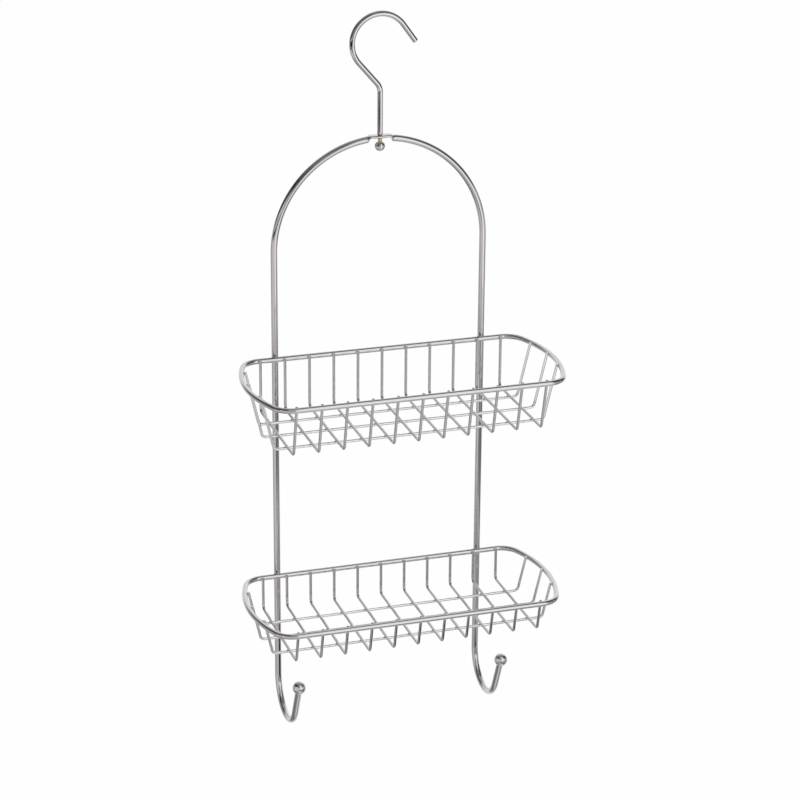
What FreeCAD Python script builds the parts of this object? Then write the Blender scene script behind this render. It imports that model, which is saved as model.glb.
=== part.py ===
"""Hanging shower caddy of bent and welded round wire.

One rod is bent into an arch, two legs and two towel hooks. Two wire baskets are welded to the front
of the legs. A hook that swivels in a flattened eye at the top of the arch hangs the caddy from a
shower arm.

Millimetres. +Z is up, -Y is the front, and X runs along the baskets. The origin is where the inside
of the hanging hook rests on the shower arm, straight above the swivel.
"""

import FreeCAD
import Part
import math
import os

from FreeCAD import Vector

X = Vector(1, 0, 0)
Y = Vector(0, 1, 0)
Z = Vector(0, 0, 1)

# Round stock. A ring of flats stands for each round section, and sizes are across the flats.
FRAME_ROD_D = 5.6
HOOK_ROD_D = 4.8
RIM_WIRE_D = 4.5
GRID_WIRE_D = 2.4
SIDES = 12
GRID_BEND_STEPS = 3
BALL_RINGS = 8

# Frame: arch, legs and towel hooks
LEG_SPACING = 180.0
SPRING_TO_UPPER_RIM = 90.0
BASKET_SPACING = 196.0
LOWER_RIM_TO_TOWEL_HOOK = 94.3
TOWEL_HOOK_R = 28.0
TOWEL_HOOK_SWEEP_DEG = 156.0
TOWEL_HOOK_LEAD_OUT = 32.0
TIP_BALL_D = 11.2
TIP_BALL_SOCKET = 5.2

# Flattened eye at the top of the arch
EYE_LENGTH = 17.0
EYE_WIDTH = 8.8
EYE_END_WIDTH = 7.2
EYE_THICKNESS = 2.2
EYE_TAPER = 2.6

# Hanging hook and its swivel
HOOK_R = 23.7
HOOK_SWEEP_DEG = 185.0
HOOK_LEAD_OUT = 18.0
NECK_BEND_R = 12.0
NECK_BEND_DEG = 41.0
SHANK_LENGTH = 35.0
PIVOT_D = 3.6
PIVOT_CLEARANCE = 0.06
SHOULDER_GAP = 0.3
BALL_GAP = 2.6
SWIVEL_BALL_D = 8.8
SWIVEL_BALL_SOCKET = 4.0

# Baskets
RIM_OVERHANG = 41.0
RIM_DEPTH = 117.0
RIM_CORNER_R = 17.5
RIM_END_BOW_R = 128.0
UPPER_WALL_DROP = 43.0
LOWER_WALL_DROP = 27.0
WALL_LEAN_DEG = 13.0
GRID_BEND_R = 4.0
GRID_END_ABOVE_RIM = 1.8
CROSS_WIRES = 11
CROSS_WIRE_END_MARGIN = 0.8
LONG_WIRE_PITCH = 28.0
LONG_WIRES = {"rear": 1, "middle": 0, "front": -1}

# Heights, from the seat of the hanging hook down
NECK_BEND = math.radians(NECK_BEND_DEG)
HOOK_CENTRE_Z = HOOK_ROD_D / 2 - HOOK_R
HOOK_START_REACH = HOOK_R * math.cos(NECK_BEND)
NECK_BEND_SHIFT = NECK_BEND_R * (1 - math.cos(NECK_BEND))
HOOK_DIAGONAL = (HOOK_START_REACH - NECK_BEND_SHIFT) / math.sin(NECK_BEND)
HOOK_START_Z = HOOK_CENTRE_Z - HOOK_R * math.sin(NECK_BEND)
NECK_BEND_TOP_Z = HOOK_START_Z - HOOK_DIAGONAL * math.cos(NECK_BEND)
SHANK_TOP_Z = NECK_BEND_TOP_Z - NECK_BEND_R * math.sin(NECK_BEND)
SHANK_FOOT_Z = SHANK_TOP_Z - SHANK_LENGTH
EYE_TOP_Z = SHANK_FOOT_Z - SHOULDER_GAP
EYE_BOTTOM_Z = EYE_TOP_Z - EYE_THICKNESS
SWIVEL_BALL_Z = EYE_BOTTOM_Z - BALL_GAP - SWIVEL_BALL_D / 2
ARCH_R = LEG_SPACING / 2
SPRING_Z = EYE_TOP_Z - FRAME_ROD_D / 2 - ARCH_R
UPPER_RIM_Z = SPRING_Z - SPRING_TO_UPPER_RIM
LOWER_RIM_Z = UPPER_RIM_Z - BASKET_SPACING
TOWEL_HOOK_Z = LOWER_RIM_Z - LOWER_RIM_TO_TOWEL_HOOK

# Plan of a basket rim: straight front and back, bowed ends, rounded corners
RIM_BACK_Y = -(FRAME_ROD_D + RIM_WIRE_D) / 2
RIM_MIDDLE_Y = RIM_BACK_Y - RIM_DEPTH / 2
RIM_HALF_LENGTH = LEG_SPACING / 2 + RIM_OVERHANG
BOW_CENTRE_X = RIM_HALF_LENGTH - RIM_END_BOW_R
CORNER_CENTRE_IN = RIM_DEPTH / 2 - RIM_CORNER_R
CORNER_TURN = math.acos(CORNER_CENTRE_IN / (RIM_END_BOW_R - RIM_CORNER_R))
STRAIGHT_HALF_RUN = BOW_CENTRE_X + CORNER_CENTRE_IN * math.tan(CORNER_TURN)

# Basket grid: the wires stand inside the rim, upright at the back and leaning elsewhere
WALL_LEAN = math.radians(WALL_LEAN_DEG)
GRID_TO_RIM = (GRID_WIRE_D + RIM_WIRE_D) / 2
GRID_BACK_Y = RIM_BACK_Y - GRID_TO_RIM
GRID_FRONT_Y = RIM_BACK_Y - RIM_DEPTH + GRID_TO_RIM / math.cos(WALL_LEAN)
CROSS_WIRE_REACH = STRAIGHT_HALF_RUN - CROSS_WIRE_END_MARGIN


def polygon(points):
    return Part.makePolygon(points + points[:1])


def section(at, heading, side, diameter):
    """The many-sided outline of a round bar, with flats towards side and square to it."""
    across = heading.cross(side)
    corner_r = diameter / 2 / math.cos(math.pi / SIDES)
    angles = [2 * math.pi * (n + 0.5) / SIDES for n in range(SIDES)]
    return [at + side * (corner_r * math.cos(a)) + across * (corner_r * math.sin(a)) for a in angles]


def arc(centre, across, up, radius, start, end):
    """An arc edge from the start angle to the end angle, in degrees from across towards up."""

    def at(degrees):
        angle = math.radians(degrees)
        return centre + across * (radius * math.cos(angle)) + up * (radius * math.sin(angle))

    return Part.Arc(at(start), at((start + end) / 2), at(end)).toShape()


def line(start, end):
    return Part.LineSegment(start, end).toShape()


def lead_out(bend, length):
    """The straight run that carries on from the end of a bend."""
    end = bend.valueAt(bend.LastParameter)
    return line(end, end + bend.tangentAt(bend.LastParameter) * length)


def bar(edges, heading, side, diameter):
    """A bar along tangent lines and arcs, whose first edge sets out along heading."""
    start = edges[0].valueAt(edges[0].FirstParameter)
    outline = polygon(section(start, heading, side, diameter))
    return Part.Wire(edges).makePipeShell([outline], True, False)


def loft(outlines):
    return Part.makeLoft([polygon(points) for points in outlines], True, True)


def mirrored(shape):
    """The same shape on the other side of the middle plane X = 0."""
    return shape.mirror(Vector(0, 0, 0), X)


def ball(centre, axis, diameter, rod):
    """A ball of flat facets in rings round an axis, bored for the end of the rod that it sits on."""
    corner_d = diameter / math.cos(math.pi / 2 / BALL_RINGS)
    rings = []
    for n in range(BALL_RINGS):
        latitude = math.pi * ((n + 0.5) / BALL_RINGS - 0.5)
        height = corner_d / 2 * math.sin(latitude)
        rings.append(section(centre + axis * height, axis, X, corner_d * math.cos(latitude)))
    faces = [Part.Face(polygon(rings[0])), Part.Face(polygon(rings[-1]))]
    for lower, upper in zip(rings, rings[1:]):
        for n in range(SIDES):
            corners = [lower[n - 1], lower[n], upper[n], upper[n - 1]]
            faces.append(Part.Face(polygon(corners)))
    return Part.Solid(Part.Shell(faces)).cut(rod)


def flat_outline(x, width):
    """The rounded outline of the flattened eye, with as many corners as the rod's section."""
    edge_r = EYE_THICKNESS / 2
    middle_z = EYE_TOP_Z - edge_r
    outline = []
    for corner in section(Vector(x, 0, middle_z), X, Y, EYE_THICKNESS):
        spread = math.copysign(width / 2 - edge_r, corner.y)
        outline.append(corner + Y * spread)
    return outline


def arch_end(side):
    """Where the round arch meets the flattened eye on one side: its place and its heading, towards +X."""
    x = side * (EYE_LENGTH / 2 + EYE_TAPER)
    slope = math.asin(x / ARCH_R)
    place = Vector(x, 0, SPRING_Z + ARCH_R * math.cos(slope))
    return place, Vector(math.cos(slope), 0, -math.sin(slope))


def eye():
    """The flattened top of the arch, with the hole that the hook's pivot turns in."""
    outlines = [
        section(*arch_end(-1), Y, FRAME_ROD_D),
        flat_outline(-EYE_LENGTH / 2, EYE_END_WIDTH),
        flat_outline(0, EYE_WIDTH),
        flat_outline(EYE_LENGTH / 2, EYE_END_WIDTH),
        section(*arch_end(1), Y, FRAME_ROD_D),
    ]
    hole_r = PIVOT_D / 2 + PIVOT_CLEARANCE
    hole = Part.makeCylinder(hole_r, FRAME_ROD_D * 2, Vector(0, 0, EYE_TOP_Z - FRAME_ROD_D), Z)
    return loft(outlines).cut(hole)


def towel_hook():
    """The bend of the right towel hook, forward and up, and its straight front, leaning forward."""
    centre = Vector(LEG_SPACING / 2, -TOWEL_HOOK_R, TOWEL_HOOK_Z)
    bend = arc(centre, Y, Z, TOWEL_HOOK_R, 0, -TOWEL_HOOK_SWEEP_DEG)
    return bend, lead_out(bend, TOWEL_HOOK_LEAD_OUT)


def right_leg():
    """The right half of the arch, its leg and its towel hook."""
    place, heading = arch_end(1)
    arch_start = 90 - math.degrees(math.asin(place.x / ARCH_R))
    leg_x = LEG_SPACING / 2
    edges = [
        arc(Vector(0, 0, SPRING_Z), X, Z, ARCH_R, arch_start, 0),
        line(Vector(leg_x, 0, SPRING_Z), Vector(leg_x, 0, TOWEL_HOOK_Z)),
        *towel_hook(),
    ]
    return bar(edges, heading, Y, FRAME_ROD_D)


def frame_rod():
    leg = right_leg()
    return leg.fuse([eye(), mirrored(leg)])


def tip_ball(frame, side):
    """The ball on the tip of one towel hook."""
    front = towel_hook()[1]
    heading = front.tangentAt(front.LastParameter)
    centre = front.valueAt(front.LastParameter) + heading * (TIP_BALL_D / 2 - TIP_BALL_SOCKET)
    centre.x *= side
    return ball(centre, heading, TIP_BALL_D, frame)


def hanging_hook():
    """The hook, its straight shank and the round pivot that drops through the eye."""
    centre = Vector(0, 0, HOOK_CENTRE_Z)
    start_deg = 180 + NECK_BEND_DEG
    end_deg = start_deg - HOOK_SWEEP_DEG
    bend_centre = Vector(-NECK_BEND_R, 0, SHANK_TOP_Z)
    neck_bend = arc(bend_centre, X, Z, NECK_BEND_R, 0, NECK_BEND_DEG)
    crook = arc(centre, X, Z, HOOK_R, start_deg, end_deg)
    edges = [
        line(Vector(0, 0, SHANK_FOOT_Z), Vector(0, 0, SHANK_TOP_Z)),
        neck_bend,
        line(neck_bend.valueAt(neck_bend.LastParameter), crook.valueAt(crook.FirstParameter)),
        crook,
        lead_out(crook, HOOK_LEAD_OUT),
    ]
    pivot_length = SHANK_FOOT_Z - SWIVEL_BALL_Z - SWIVEL_BALL_D / 2 + SWIVEL_BALL_SOCKET
    pivot = Part.makeCylinder(PIVOT_D / 2, pivot_length, Vector(0, 0, SHANK_FOOT_Z), -Z)
    return bar(edges, Z, X, HOOK_ROD_D).fuse(pivot)


def rim(z):
    """A closed basket rim: straight front and back, ends that bow outwards, rounded corners."""
    middle = Vector(0, RIM_MIDDLE_Y, z)
    turn = math.degrees(CORNER_TURN)
    to_back = Y * (RIM_DEPTH / 2)
    to_run_end = X * STRAIGHT_HALF_RUN
    corner = to_run_end + Y * CORNER_CENTRE_IN
    front_corner = to_run_end - Y * CORNER_CENTRE_IN
    bow = X * BOW_CENTRE_X
    edges = [
        line(middle + to_back, middle + to_back - to_run_end),
        arc(middle - front_corner, X, Y, RIM_CORNER_R, 90, 90 + turn),
        arc(middle - bow, X, Y, RIM_END_BOW_R, 90 + turn, 270 - turn),
        arc(middle - corner, X, Y, RIM_CORNER_R, 270 - turn, 270),
        line(middle - to_back - to_run_end, middle - to_back + to_run_end),
        arc(middle + front_corner, X, Y, RIM_CORNER_R, 270, 270 + turn),
        arc(middle + bow, X, Y, RIM_END_BOW_R, 270 + turn, 450 - turn),
        arc(middle + corner, X, Y, RIM_CORNER_R, 450 - turn, 450),
        line(middle + to_back + to_run_end, middle + to_back),
    ]
    return bar(edges, -X, Z, RIM_WIRE_D)


def stepped_bend(before, corner, after):
    """Mitre points that turn a grid wire round its bend radius at a corner, in equal steps."""
    back = (before - corner).normalize()
    ahead = (after - corner).normalize()
    half_opening = back.getAngle(ahead) / 2
    step = (math.pi - 2 * half_opening) / GRID_BEND_STEPS
    centre = corner + (back + ahead).normalize() * (GRID_BEND_R / math.sin(half_opening))
    start = corner + back * (GRID_BEND_R / math.tan(half_opening))
    outward = (start - centre).normalize()
    mitre_r = GRID_BEND_R / math.cos(step / 2)
    angles = [step * (n + 0.5) for n in range(GRID_BEND_STEPS)]
    return [centre + (outward * math.cos(a) - back * math.sin(a)) * mitre_r for a in angles]


def grid_wire(tips, corners, side):
    """A thin wire bent into a shallow U in the plane square to side."""
    points = tips[:1]
    points += stepped_bend(tips[0], corners[0], corners[1])
    points += stepped_bend(corners[0], corners[1], tips[1])
    points += tips[1:]
    heading = (corners[0] - tips[0]).normalize()
    outline = polygon(section(tips[0], heading, side, GRID_WIRE_D))
    mitred = 1
    return Part.makePolygon(points).makePipeShell([outline], True, False, mitred)


def lean(height):
    """How far a leaning wall stands out at a height above the rim, or in where that is negative."""
    return height * math.tan(WALL_LEAN)


def cross_wire(n, rim_z, drop):
    """One front-to-back wire, up the back, under the floor and up the leaning front."""
    x = CROSS_WIRE_REACH * (2 * n / (CROSS_WIRES - 1) - 1)
    tip_z = rim_z + GRID_END_ABOVE_RIM
    floor_z = rim_z - drop
    tips = [
        Vector(x, GRID_BACK_Y, tip_z),
        Vector(x, GRID_FRONT_Y - lean(GRID_END_ABOVE_RIM), tip_z),
    ]
    corners = [
        Vector(x, GRID_BACK_Y, floor_z),
        Vector(x, GRID_FRONT_Y + lean(drop), floor_z),
    ]
    return grid_wire(tips, corners, X)


def long_wire(place, rim_z, drop):
    """One wire that runs along under the cross wires and up both leaning ends of the basket."""
    floor_front_y = GRID_FRONT_Y + lean(drop)
    y = (GRID_BACK_Y + floor_front_y) / 2 + place * LONG_WIRE_PITCH
    bow_slope = math.asin((y - RIM_MIDDLE_Y) / RIM_END_BOW_R)
    rim_x = BOW_CENTRE_X + RIM_END_BOW_R * math.cos(bow_slope)
    clear_of_rim = GRID_TO_RIM * math.hypot(1 / math.cos(bow_slope), math.tan(WALL_LEAN))
    wall_x = rim_x - clear_of_rim
    tip_x = wall_x + lean(GRID_END_ABOVE_RIM)
    corner_x = wall_x - lean(drop + GRID_WIRE_D)
    tip_z = rim_z + GRID_END_ABOVE_RIM
    floor_z = rim_z - drop - GRID_WIRE_D
    tips = [Vector(-tip_x, y, tip_z), Vector(tip_x, y, tip_z)]
    corners = [Vector(-corner_x, y, floor_z), Vector(corner_x, y, floor_z)]
    return grid_wire(tips, corners, Y)


def basket(name, rim_z, drop):
    """The rim and grid wires of one basket, by node name."""
    nodes = {f"{name}_rim": rim(rim_z)}
    for n in range(CROSS_WIRES):
        nodes[f"{name}_cross_wire_{n + 1:02d}"] = cross_wire(n, rim_z, drop)
    for wire, place in LONG_WIRES.items():
        nodes[f"{name}_{wire}_long_wire"] = long_wire(place, rim_z, drop)
    return nodes


def caddy():
    frame = frame_rod()
    hook = hanging_hook()
    nodes = {
        "frame_rod": frame,
        "left_towel_hook_ball": tip_ball(frame, -1),
        "right_towel_hook_ball": tip_ball(frame, 1),
        "hanging_hook": hook,
        "swivel_ball": ball(Vector(0, 0, SWIVEL_BALL_Z), Z, SWIVEL_BALL_D, hook),
    }
    nodes.update(basket("upper", UPPER_RIM_Z, UPPER_WALL_DROP))
    nodes.update(basket("lower", LOWER_RIM_Z, LOWER_WALL_DROP))
    return nodes


os.makedirs("parts", exist_ok=True)
for node, shape in caddy().items():
    shape.exportStep(f"parts/{node}.step")
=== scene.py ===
"""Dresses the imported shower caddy: round rods, a swivel eye, welded wire baskets and their chrome.

The file is laid out as an add-on and is run as a script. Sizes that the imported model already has
are read from it, and the rest are scene properties. Metres, with +Z up and -Y to the front.
"""

import math
from collections import namedtuple

import bmesh
import bpy
from bpy.props import FloatProperty, FloatVectorProperty, IntProperty, PointerProperty
from mathutils import Matrix, Vector


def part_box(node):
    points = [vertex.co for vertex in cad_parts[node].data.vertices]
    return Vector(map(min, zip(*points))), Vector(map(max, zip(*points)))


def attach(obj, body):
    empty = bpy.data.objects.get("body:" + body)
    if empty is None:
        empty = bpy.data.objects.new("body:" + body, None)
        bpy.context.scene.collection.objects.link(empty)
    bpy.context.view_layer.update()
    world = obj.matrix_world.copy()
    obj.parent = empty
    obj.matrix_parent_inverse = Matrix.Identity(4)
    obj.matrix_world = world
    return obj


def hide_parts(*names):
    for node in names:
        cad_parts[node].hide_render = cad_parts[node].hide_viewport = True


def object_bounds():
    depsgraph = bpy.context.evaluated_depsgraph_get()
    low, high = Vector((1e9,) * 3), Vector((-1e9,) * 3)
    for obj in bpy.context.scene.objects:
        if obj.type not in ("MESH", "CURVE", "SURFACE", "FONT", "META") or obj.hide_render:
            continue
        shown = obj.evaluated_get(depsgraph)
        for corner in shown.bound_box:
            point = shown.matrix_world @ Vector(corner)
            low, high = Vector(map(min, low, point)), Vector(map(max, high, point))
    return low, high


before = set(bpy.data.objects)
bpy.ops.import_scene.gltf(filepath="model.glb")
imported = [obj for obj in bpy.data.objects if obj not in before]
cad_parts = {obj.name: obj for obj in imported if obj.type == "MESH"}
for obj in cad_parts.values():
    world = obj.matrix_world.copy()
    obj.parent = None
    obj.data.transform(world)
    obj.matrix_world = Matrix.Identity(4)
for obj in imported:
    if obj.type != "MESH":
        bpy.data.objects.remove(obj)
CAD_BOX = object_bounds()

bl_info = {
    "name": "Shower Caddy Dressing",
    "version": (1, 0, 0),
    "blender": (4, 5, 0),
    "location": "3D View > Sidebar > Caddy",
    "description": "Rods, swivel eye, basket wires, welds and studio of a hanging shower caddy",
    "category": "Object",
}

X = Vector((1, 0, 0))
Y = Vector((0, 1, 0))
Z = Vector((0, 0, 1))
MM = 0.001
CADDY = "caddy"
HOOK = "hook"
BASKETS = ("upper", "lower")
LONG_WIRES = ("rear", "middle", "front")
ROD_SPACE = "rod_space"


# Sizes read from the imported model


def cross_wire_nodes(basket):
    return sorted(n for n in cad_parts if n.startswith(f"{basket}_cross_wire_"))


def long_wire_nodes(basket):
    return [f"{basket}_{place}_long_wire" for place in LONG_WIRES]


# Scene properties


def number(name, text, value, high=1.0, low=0.0, **kind):
    return FloatProperty(name=name, description=text, default=value, min=low, max=high, **kind)


def length(name, text, millimetres, high=1000.0):
    """A length property in metres, from its default in millimetres."""
    kind = {"precision": 5, "subtype": "DISTANCE", "unit": "LENGTH"}
    return number(name, text, millimetres * MM, high * MM, **kind)


def angle(name, text, degrees):
    kind = {"subtype": "ANGLE", "unit": "ROTATION"}
    return FloatProperty(name=name, description=text, default=math.radians(degrees), **kind)


def colour(name, text, *tone):
    kind = {"size": 3, "min": 0.0, "max": 1.0, "subtype": "COLOR"}
    return FloatVectorProperty(name=name, description=text, default=tone, **kind)


class CaddyRods(bpy.types.PropertyGroup):
    """Round stock and the shape of the frame and of the hanging hook."""

    frame_rod: length("Frame rod", "Diameter of the bent frame rod", 5.6)
    hook_rod: length("Hook rod", "Diameter of the hanging hook's rod", 4.8)
    rod_sides: IntProperty(
        name="Rod sides", description="Faces round a thick rod", default=32, min=8, max=64
    )
    end_rounding: length("End rounding", "How far back the cut end of a rod is rounded", 0.9)
    eye_length: length("Eye length", "Flattened length at the top of the arch", 17.0)
    eye_width: length("Eye width", "Width of the eye round its hole", 8.8)
    eye_end_width: length("Eye end width", "Width of the eye at its two ends", 7.2)
    eye_thickness: length("Eye thickness", "Thickness of the flattened eye", 2.2)
    eye_taper: length("Eye taper", "Run from the flat back to the round rod", 2.6)
    eye_hole: length("Eye hole", "Diameter of the hole that the pivot turns in", 3.72)
    pivot: length("Pivot", "Diameter of the pivot under the hook's shank", 3.6)
    shoulder_gap: length("Shoulder gap", "Running gap between the shank and the eye", 0.3)
    hook_sweep: angle("Hook sweep", "How far the hook bends round", 185.0)
    hook_lead_out: length("Hook lead-out", "Straight end of the hook", 18.0)
    neck_bend_radius: length("Neck bend radius", "Bend between the shank and the hook", 12.0)
    neck_bend: angle("Neck bend", "Turn between the shank and the hook", 41.0)
    shank: length("Shank", "Straight shank above the swivel", 35.0)
    towel_hook_radius: length("Towel hook radius", "Bend at the foot of a leg", 28.0)
    towel_hook_sweep: angle("Towel hook sweep", "How far the foot of a leg bends round", 156.0)
    towel_hook_front: length("Towel hook front", "Straight front of a towel hook", 32.0)


class CaddyBaskets(bpy.types.PropertyGroup):
    """Rims, grid wires and welds of the two baskets."""

    rim_wire: length("Rim wire", "Diameter of the basket rims", 4.5)
    grid_wire: length("Grid wire", "Diameter of the thin basket wires", 2.4)
    wire_sides: IntProperty(
        name="Wire sides", description="Faces round a thin wire", default=16, min=6, max=32
    )
    rim_corner_radius: length("Rim corner radius", "Corner bends of a rim", 17.5)
    rim_end_bow: length("Rim end bow", "Radius of the bowed ends of a rim", 128.0)
    wall_lean: angle("Wall lean", "Outward lean of the front and end walls", 13.0)
    grid_bend_radius: length("Grid bend radius", "Bends at the foot of the walls", 4.0)
    tip_above_rim: length("Tip above rim", "How far thin wires stand above the rim", 1.8)
    tip_rounding: length("Tip rounding", "How far back a thin wire's cut end is rounded", 0.45)
    weld_spread: number("Weld spread", "Weld length as a share of the thinner wire", 0.62)
    weld_rise: number("Weld rise", "Weld thickness as a share of the thinner wire", 0.26)


class CaddyChrome(bpy.types.PropertyGroup):
    """Colour and surface of the chrome plate."""

    plate: colour("Plate", "Main colour of the chrome", 0.80, 0.80, 0.80)
    warm: colour("Warm plate", "Where the plate is thin and the nickel shows", 0.80, 0.76, 0.71)
    cool: colour("Cool plate", "Where the plate is thick", 0.74, 0.75, 0.80)
    gloss: number("Gloss roughness", "Roughness of the cleanest plate", 0.045)
    haze: number("Haze", "Roughness added where the plate is hazy", 0.08)
    streaks: number("Drawing streaks", "Depth of the marks left by drawing the wire", 0.25)
    ripple: number("Ripple", "Depth of the slow waviness of the plate", 0.35)


class CaddyStudio(bpy.types.PropertyGroup):
    """Camera, floor, lamps and backdrop."""

    azimuth: angle("Azimuth", "Camera direction round the caddy, from the front", -18.01)
    elevation: angle("Elevation", "Camera direction above the horizon", 21.02)
    roll: angle("Roll", "Turn of the picture", 0.444)
    distance: length("Distance", "From the camera to the point it turns about", 2217.6, 9000.0)
    aim_across: length("Aim across", "Where the camera turns about, along X", 18.77)
    aim_down: length("Aim down", "Where the camera turns about, below the hook's seat", 329.6)
    focal_length: number("Focal length", "In millimetres", 118.2, 400.0, 20.0)
    floor_below: length("Floor below", "Drop from the caddy's foot to the floor", 1300.0, 4000.0)
    floor: colour("Floor", "Pale studio floor", 0.92, 0.92, 0.92)
    floor_seen: number("Floor glow", "Share of the floor that shows as backdrop", 0.94)
    ambient: number("Ambient", "Strength of the plain light from all round", 0.90)
    lamp_power: number("Lamp power", "Watts of each soft lamp", 4.0, 200.0)


# Node trees, for shaders and for geometry


def both_ways(operation):
    """An operator that adds its Math node, and the same with its sides swapped."""
    return (
        lambda self, other: self.graph.maths(operation, self, other),
        lambda self, other: self.graph.maths(operation, other, self),
    )


def one_way(operation):
    """An operator that adds its Math node, with the value that it is called on first."""
    return lambda self, *others: self.graph.maths(operation, self, *others)


class Value:
    """A node's output that takes part in Python expressions, each adding its Math node."""

    def __init__(self, graph, socket):
        self.graph = graph
        self.socket = socket

    __add__, __radd__ = both_ways("ADD")
    __sub__, __rsub__ = both_ways("SUBTRACT")
    __mul__, __rmul__ = both_ways("MULTIPLY")
    __truediv__, __rtruediv__ = both_ways("DIVIDE")
    __lt__, __gt__ = one_way("LESS_THAN"), one_way("GREATER_THAN")
    __abs__, root, sign = one_way("ABSOLUTE"), one_way("SQRT"), one_way("SIGN")
    least, most, wrapped = one_way("MINIMUM"), one_way("MAXIMUM"), one_way("WRAP")
    arctan2, arcsine = one_way("ARCTAN2"), one_way("ARCSINE")

    def out(self, name):
        """Another output of the same node."""
        return Value(self.graph, self.socket.node.outputs[name])

    def eased(self):
        """Smooth from 0 to 1, and flat outside that range."""
        held = self.most(0.0).least(1.0)
        return held * held * (3.0 - 2.0 * held)

    def rising(self, start, slope):
        """0 up to the start, then up to 1 at this slope, with both turns smoothed."""
        return ((self - start) * slope).eased()


class Graph:
    """One node tree and the one way in which nodes are added to it."""

    def __init__(self, tree):
        self.tree = tree
        tree.nodes.clear()

    def node(self, kind, inputs=None, **settings):
        """Adds a node with its settings made first, then the values or links of its sockets."""
        made = self.tree.nodes.new(kind)
        for name, value in settings.items():
            setattr(made, name, value)
        for key, value in (inputs or {}).items():
            if isinstance(value, Value):
                self.tree.links.new(value.socket, made.inputs[key])
            else:
                made.inputs[key].default_value = value
        outputs = [o for o in made.outputs if o.enabled]
        return Value(self, outputs[0]) if outputs else None

    def maths(self, operation, *values):
        return self.node("ShaderNodeMath", dict(enumerate(values)), operation=operation)

    def vector_maths(self, operation, a, b):
        return self.node("ShaderNodeVectorMath", {0: a, 1: b}, operation=operation)

    def split(self, vector):
        """The X, Y and Z of a vector."""
        x = self.node("ShaderNodeSeparateXYZ", {0: vector})
        return x, x.out("Y"), x.out("Z")

    def joined(self, *parts):
        """A vector of these X, Y and Z."""
        return self.node("ShaderNodeCombineXYZ", dict(enumerate(parts)))

    def attribute(self, name, kind="FLOAT_VECTOR"):
        """What the points of a shape hold under a name."""
        return self.node("GeometryNodeInputNamedAttribute", {"Name": name}, data_type=kind)

    def stored(self, shape, name, value, kind="FLOAT_VECTOR"):
        """The shape, with a value held by each of its points under a name."""
        store = "GeometryNodeStoreNamedAttribute"
        inputs = {"Geometry": shape, "Name": name, "Value": value}
        return self.node(store, inputs, data_type=kind, domain="POINT")

    def mixed(self, a, b, factor, label=""):
        """Colour a turning to colour b."""
        inputs = {0: factor, 6: a, 7: b}
        return self.node("ShaderNodeMix", inputs, data_type="RGBA", label=label).out(2)

    def noise(self, place, size, detail=2.0, roughness=0.5):
        """Smooth noise whose lumps are about size metres across, from 0 to 1."""
        inputs = {"Vector": place, "Scale": 1.0 / size, "Detail": detail, "Roughness": roughness}
        return self.node("ShaderNodeTexNoise", inputs, noise_dimensions="3D")

    def glow(self, tone):
        return self.node("ShaderNodeEmission", {"Color": tone, "Strength": 1.0})

    def layered(self, factor, under, over):
        """One shader turning to another."""
        return self.node("ShaderNodeMixShader", {0: factor, 1: under, 2: over})

    def surface(self, shader):
        self.node("ShaderNodeOutputMaterial", {"Surface": shader})


def new_material(name):
    """A material and the emptied graph of its nodes."""
    material = bpy.data.materials.new(name)
    material.use_nodes = True
    return material, Graph(material.node_tree)


def geometry_graph(name, sizes):
    """A new geometry tree with a geometry input, the named inputs, and a geometry output."""
    tree = bpy.data.node_groups.new(name, "GeometryNodeTree")
    tree.interface.new_socket("Geometry", in_out="INPUT", socket_type="NodeSocketGeometry")
    for label, kind in sizes.items():
        tree.interface.new_socket(label, in_out="INPUT", socket_type=f"NodeSocket{kind}")
    tree.interface.new_socket("Geometry", in_out="OUTPUT", socket_type="NodeSocketGeometry")
    graph = Graph(tree)
    return graph, graph.node("NodeGroupInput")


def finished_geometry(graph, shape, size):
    """Real mesh with its material, handed to the tree's output."""
    real = graph.node("GeometryNodeRealizeInstances", {"Geometry": shape})
    dress = {"Geometry": real, "Material": size.out("Material")}
    dressed = graph.node("GeometryNodeSetMaterial", dress)
    graph.node("NodeGroupOutput", {"Geometry": dressed})
    return graph.tree


SET_SMOOTH = "GeometryNodeSetShadeSmooth"
SWEEP_SIZES = {
    "Diameter": "Float",
    "Sides": "Int",
    "End Rounding": "Float",
    "Material": "Material",
}
END_FACE_SHARE = 0.62
CREASE = math.radians(38)


def swept(graph, size):
    """Round bar along every spline: cut ends rounded, and its own straight rod space stored."""
    run = graph.node("GeometryNodeSplineParameter").out("Length")
    total = graph.node("GeometryNodeSplineLength").out("Length")
    closed = graph.node("GeometryNodeInputSplineCyclic")
    to_end = run.least(total - run) / size.out("End Rounding")
    short_of_full = 1.0 - to_end.most(closed).least(1.0)
    shrink = (1.0 - short_of_full * short_of_full).root()
    scale = END_FACE_SHARE + (1.0 - END_FACE_SHARE) * shrink
    line = graph.stored(size.out("Geometry"), "run", run, "FLOAT")
    circle = {"Resolution": size.out("Sides"), "Radius": size.out("Diameter") * 0.5}
    ring = graph.node("GeometryNodeCurvePrimitiveCircle", circle, mode="RADIUS")
    ring = graph.stored(ring, "across", graph.node("GeometryNodeInputPosition"))
    sweep = {"Curve": line, "Profile Curve": ring, "Scale": scale, "Fill Caps": True}
    bar = graph.node("GeometryNodeCurveToMesh", sweep)
    x, y, _ = graph.split(graph.attribute("across"))
    return graph.stored(bar, ROD_SPACE, graph.joined(x, y, graph.attribute("run", "FLOAT")))


def smoothed(graph, shape):
    """Smooth shading everywhere but at edges sharper than the crease angle."""
    soft = graph.node(SET_SMOOTH, {"Geometry": shape}, domain="FACE")
    sharp = graph.node("GeometryNodeInputMeshEdgeAngle").out("Unsigned Angle") > CREASE
    creased = {"Geometry": soft, "Selection": sharp, "Shade Smooth": False}
    return graph.node(SET_SMOOTH, creased, domain="EDGE")


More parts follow.
